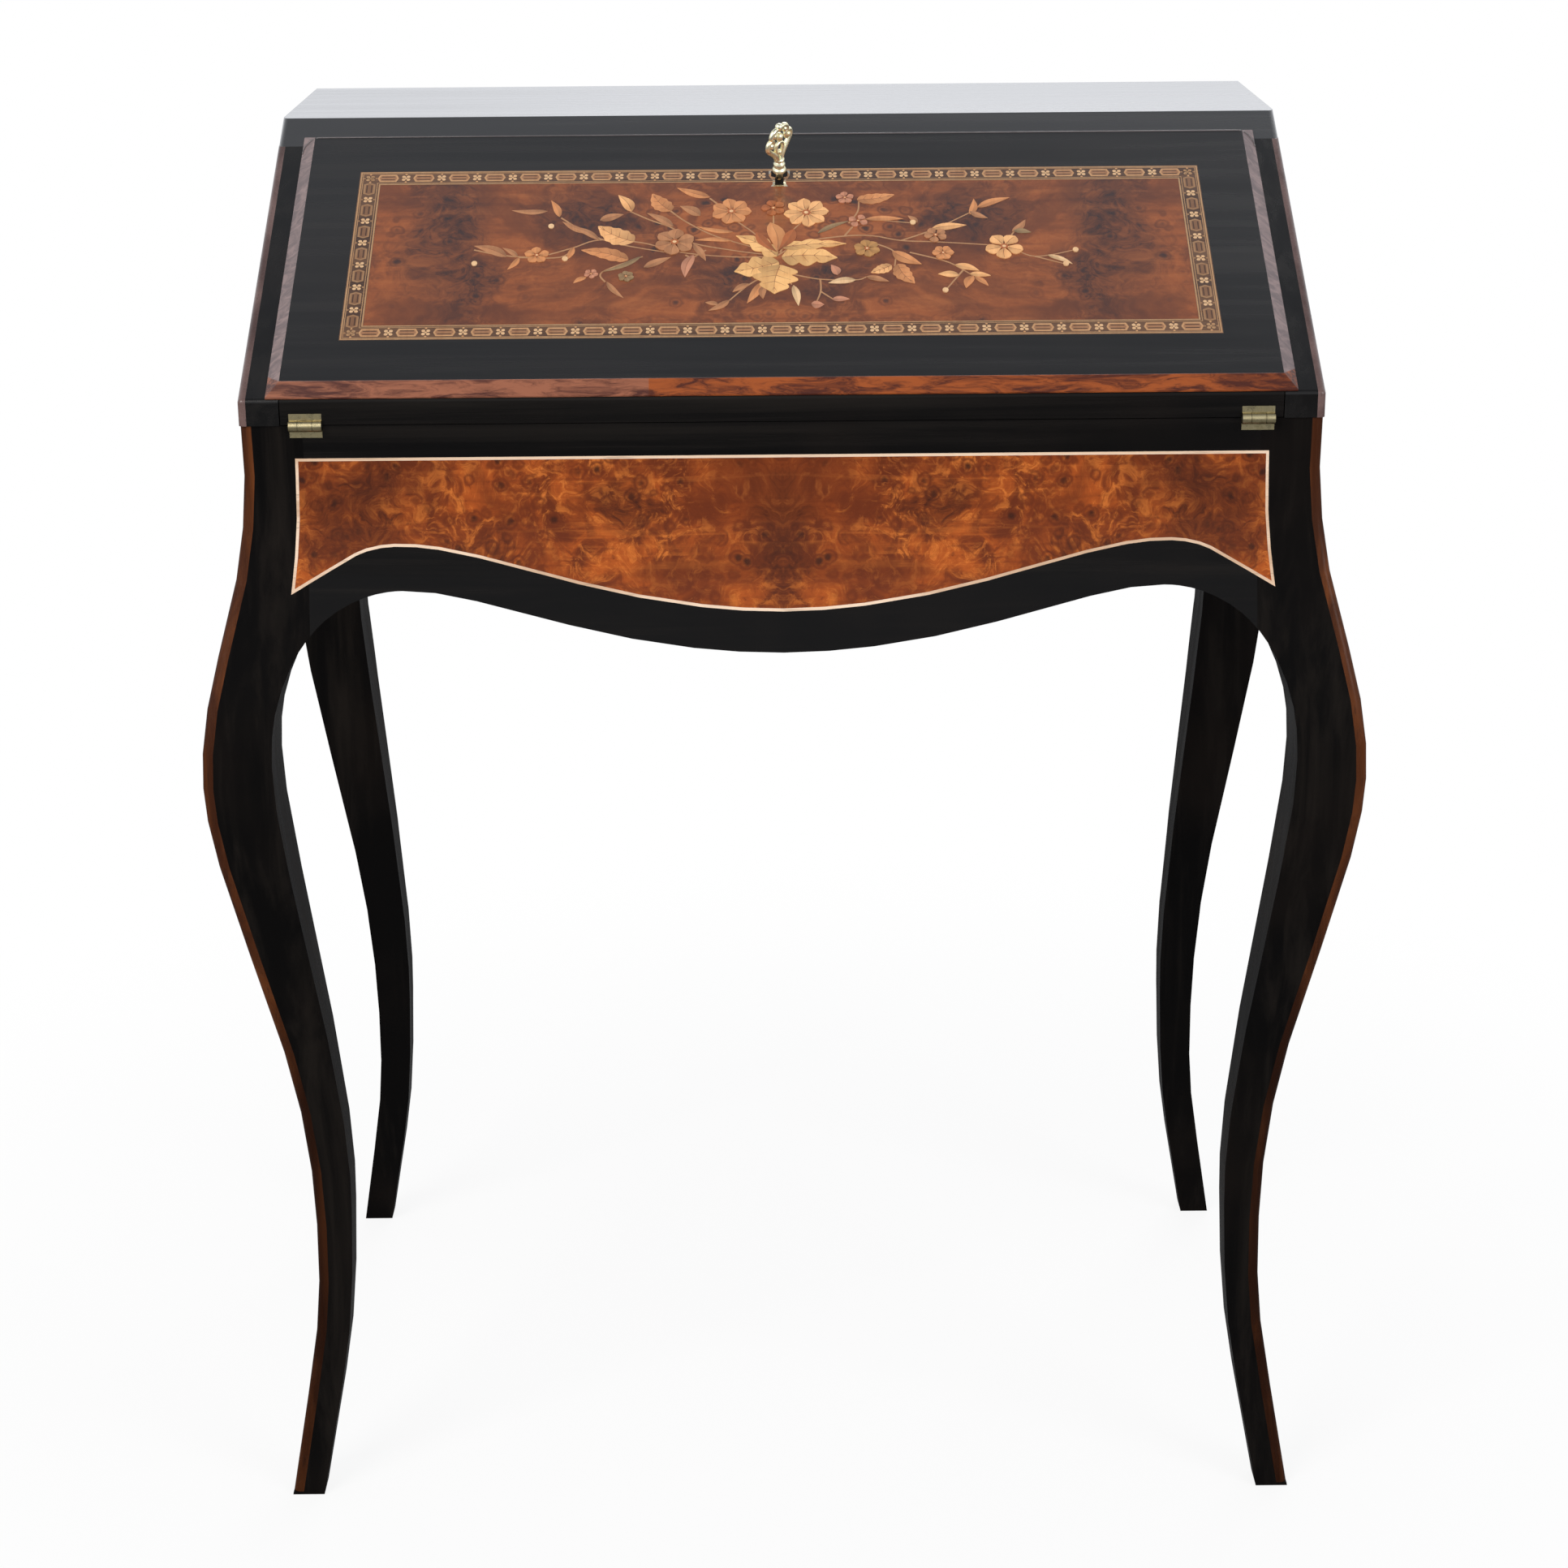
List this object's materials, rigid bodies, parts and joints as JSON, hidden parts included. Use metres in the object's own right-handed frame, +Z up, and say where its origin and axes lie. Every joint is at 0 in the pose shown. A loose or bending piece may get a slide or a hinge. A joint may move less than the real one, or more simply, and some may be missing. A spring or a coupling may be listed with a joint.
{
  "type": "slant-front desk",
  "caption": "Small slant-front writing desk on cabriole legs, with a hinged fall on folding stays, inlaid panels, a lock with key, and fitted drawers.",
  "frame": {"origin": "on the floor, under the middle of the desk", "axes": "+X to the right of someone facing the desk, +Y to the back, +Z up"},
  "size_m": [0.7256, 0.4826, 0.9006],
  "materials": {
    "boxwood": "polished",
    "brass": "polished",
    "burl_veneer": "polished",
    "carcase_wood": "plain",
    "ebonised_wood": "polished black",
    "interior_wood": "satin",
    "leather": "satin",
    "marquetry": "polished",
    "marquetry_band": "polished",
    "rosewood": "polished",
    "steel": "satin"
  },
  "bodies": {
    "desk": {"front_left_leg": "ebonised_wood", "front_right_leg": "ebonised_wood", "back_left_leg": "ebonised_wood", "back_right_leg": "ebonised_wood", "leg_corner_strips": "rosewood", "front_apron": "ebonised_wood", "back_apron": "ebonised_wood", "left_apron": "ebonised_wood", "right_apron": "ebonised_wood", "front_burl_panel": "burl_veneer", "front_stringing": "boxwood", "side_burl_panels": "burl_veneer", "side_stringings": "boxwood", "writing_bed": "interior_wood", "bed_cleats": "carcase_wood", "corner_blocks": "carcase_wood", "left_cheek": "ebonised_wood", "right_cheek": "ebonised_wood", "left_cheek_edging": "rosewood", "right_cheek_edging": "rosewood", "case_back": "ebonised_wood", "case_top": "ebonised_wood", "case_top_rail": "interior_wood", "lock_striking_plate": "brass", "gallery_shelf": "interior_wood", "drawer_dividers": "interior_wood", "pigeonhole_dividers": "interior_wood", "hinge_frame_leaves": "brass", "hinge_pins": "brass", "stay_cheek_plates": "brass"},
    "fall": {"fall_board": "ebonised_wood", "fall_raised_panel": "ebonised_wood", "bevel_strips": "rosewood", "marquetry_border": "marquetry_band", "marquetry_field": "marquetry", "writing_leather": "leather", "keyhole_escutcheon": "brass", "lock_case": "brass", "hinge_fall_leaves": "brass", "stay_fall_lugs": "brass"},
    "key": {"key": "brass"},
    "bolt": {"lock_bolt": "steel"},
    "left_lower_arm": {"left_stay_lower_arm": "brass"},
    "left_upper_arm": {"left_stay_upper_arm": "brass"},
    "right_lower_arm": {"right_stay_lower_arm": "brass"},
    "right_upper_arm": {"right_stay_upper_arm": "brass"},
    "left_drawer": {"left_drawer_front": "interior_wood", "left_drawer_box": "carcase_wood"},
    "centre_drawer": {"centre_drawer_front": "interior_wood", "centre_drawer_box": "carcase_wood"},
    "right_drawer": {"right_drawer_front": "interior_wood", "right_drawer_box": "carcase_wood"}
  },
  "joints": [
    {"name": "fall_hinge", "type": "hinge", "parent": "desk", "child": "fall", "pos_m": [0, -0.211, 0.74], "axis": [1, 0, 0], "range_deg": [0, 151]},
    {"name": "left_stay_foot", "type": "hinge", "parent": "desk", "child": "left_lower_arm", "pos_m": [-0.3032, -0.125, 0.752], "axis": [1, 0, 0], "range_deg": [0, 163.27]},
    {"name": "left_stay_elbow", "type": "hinge", "parent": "left_lower_arm", "child": "left_upper_arm", "pos_m": [-0.3032, -0.02269, 0.78604], "axis": [1, 0, 0], "range_deg": [-161.91, 0]},
    {"name": "right_stay_foot", "type": "hinge", "parent": "desk", "child": "right_lower_arm", "pos_m": [0.3032, -0.125, 0.752], "axis": [1, 0, 0], "range_deg": [0, 163.27]},
    {"name": "right_stay_elbow", "type": "hinge", "parent": "right_lower_arm", "child": "right_upper_arm", "pos_m": [0.3032, -0.02269, 0.78604], "axis": [1, 0, 0], "range_deg": [-161.91, 0]},
    {"name": "key_turn", "type": "hinge", "parent": "fall", "child": "key", "pos_m": [0, -0.02982, 0.85586], "axis": [0, 0.4847, -0.8747], "range_deg": [0, 180]},
    {"name": "bolt_slide", "type": "slide", "parent": "fall", "child": "bolt", "axis": [0, 0.8747, 0.4847], "range_m": [0, 0.007]},
    {"name": "left_drawer_slide", "type": "slide", "parent": "desk", "child": "left_drawer", "axis": [0, -1, 0], "range_m": [0, 0.08]},
    {"name": "centre_drawer_slide", "type": "slide", "parent": "desk", "child": "centre_drawer", "axis": [0, -1, 0], "range_m": [0, 0.08]},
    {"name": "right_drawer_slide", "type": "slide", "parent": "desk", "child": "right_drawer", "axis": [0, -1, 0], "range_m": [0, 0.08]}
  ],
  "couplings": [
    {"joint": "left_stay_foot", "follows": "fall_hinge", "ratio": 1.0779},
    {"joint": "left_stay_elbow", "follows": "fall_hinge", "ratio": -1.0689},
    {"joint": "right_stay_foot", "follows": "fall_hinge", "ratio": 1.0779},
    {"joint": "right_stay_elbow", "follows": "fall_hinge", "ratio": -1.0689},
    {"joint": "key_turn", "follows": "bolt_slide", "rad_per_m": 448.8}
  ]
}
